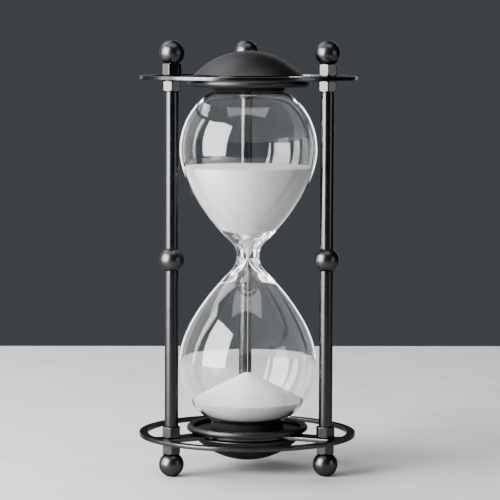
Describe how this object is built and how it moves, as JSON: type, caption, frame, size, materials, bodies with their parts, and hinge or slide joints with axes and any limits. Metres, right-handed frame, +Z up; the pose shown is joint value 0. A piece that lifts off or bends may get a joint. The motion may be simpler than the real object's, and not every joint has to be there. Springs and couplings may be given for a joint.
{
  "type": "hourglass",
  "caption": "Sand timer: a glass with an upper and a lower bulb, held between spoked ring plates by ball-ended posts; dark satin metal frame, white sand, stands on either end.",
  "frame": {"origin": "on the floor, under the centre of the glass and midway between the feet", "axes": "+Z up along the axis of the glass; -Y is the front, with one post behind on +Y and the others at the front left and front right"},
  "size_m": [0.13, 0.13, 0.2573],
  "materials": {
    "frame_black": "satin",
    "plain_steel": "satin",
    "clear_glass": "polished",
    "white_sand": "matte",
    "pad_rubber": "matte",
    "stopper_rubber": "matte"
  },
  "bodies": {
    "root": {"bottom_ring_plate": "frame_black", "bottom_dome": "frame_black", "bottom_dish": "frame_black", "bottom_rubber_pad": "pad_rubber", "bottom_centre_stud": "plain_steel", "bottom_centre_nut": "plain_steel", "top_ring_plate": "frame_black", "top_dome": "frame_black", "top_dish": "frame_black", "top_rubber_pad": "pad_rubber", "top_centre_stud": "plain_steel", "top_centre_nut": "plain_steel", "left_foot_ball": "frame_black", "left_bottom_collar": "frame_black", "left_bottom_nut": "frame_black", "left_lower_tube": "frame_black", "left_middle_ball": "frame_black", "left_upper_tube": "frame_black", "left_top_nut": "frame_black", "left_top_collar": "frame_black", "left_finial_ball": "frame_black", "left_tie_rod": "plain_steel", "right_foot_ball": "frame_black", "right_bottom_collar": "frame_black", "right_bottom_nut": "frame_black", "right_lower_tube": "frame_black", "right_middle_ball": "frame_black", "right_upper_tube": "frame_black", "right_top_nut": "frame_black", "right_top_collar": "frame_black", "right_finial_ball": "frame_black", "right_tie_rod": "plain_steel", "rear_foot_ball": "frame_black", "rear_bottom_collar": "frame_black", "rear_bottom_nut": "frame_black", "rear_lower_tube": "frame_black", "rear_middle_ball": "frame_black", "rear_upper_tube": "frame_black", "rear_top_nut": "frame_black", "rear_top_collar": "frame_black", "rear_finial_ball": "frame_black", "rear_tie_rod": "plain_steel", "glass_bulb": "clear_glass", "fill_stopper": "stopper_rubber", "sand_upper": "white_sand", "sand_lower": "white_sand", "sand_stream": "white_sand"}
  },
  "joints": []
}
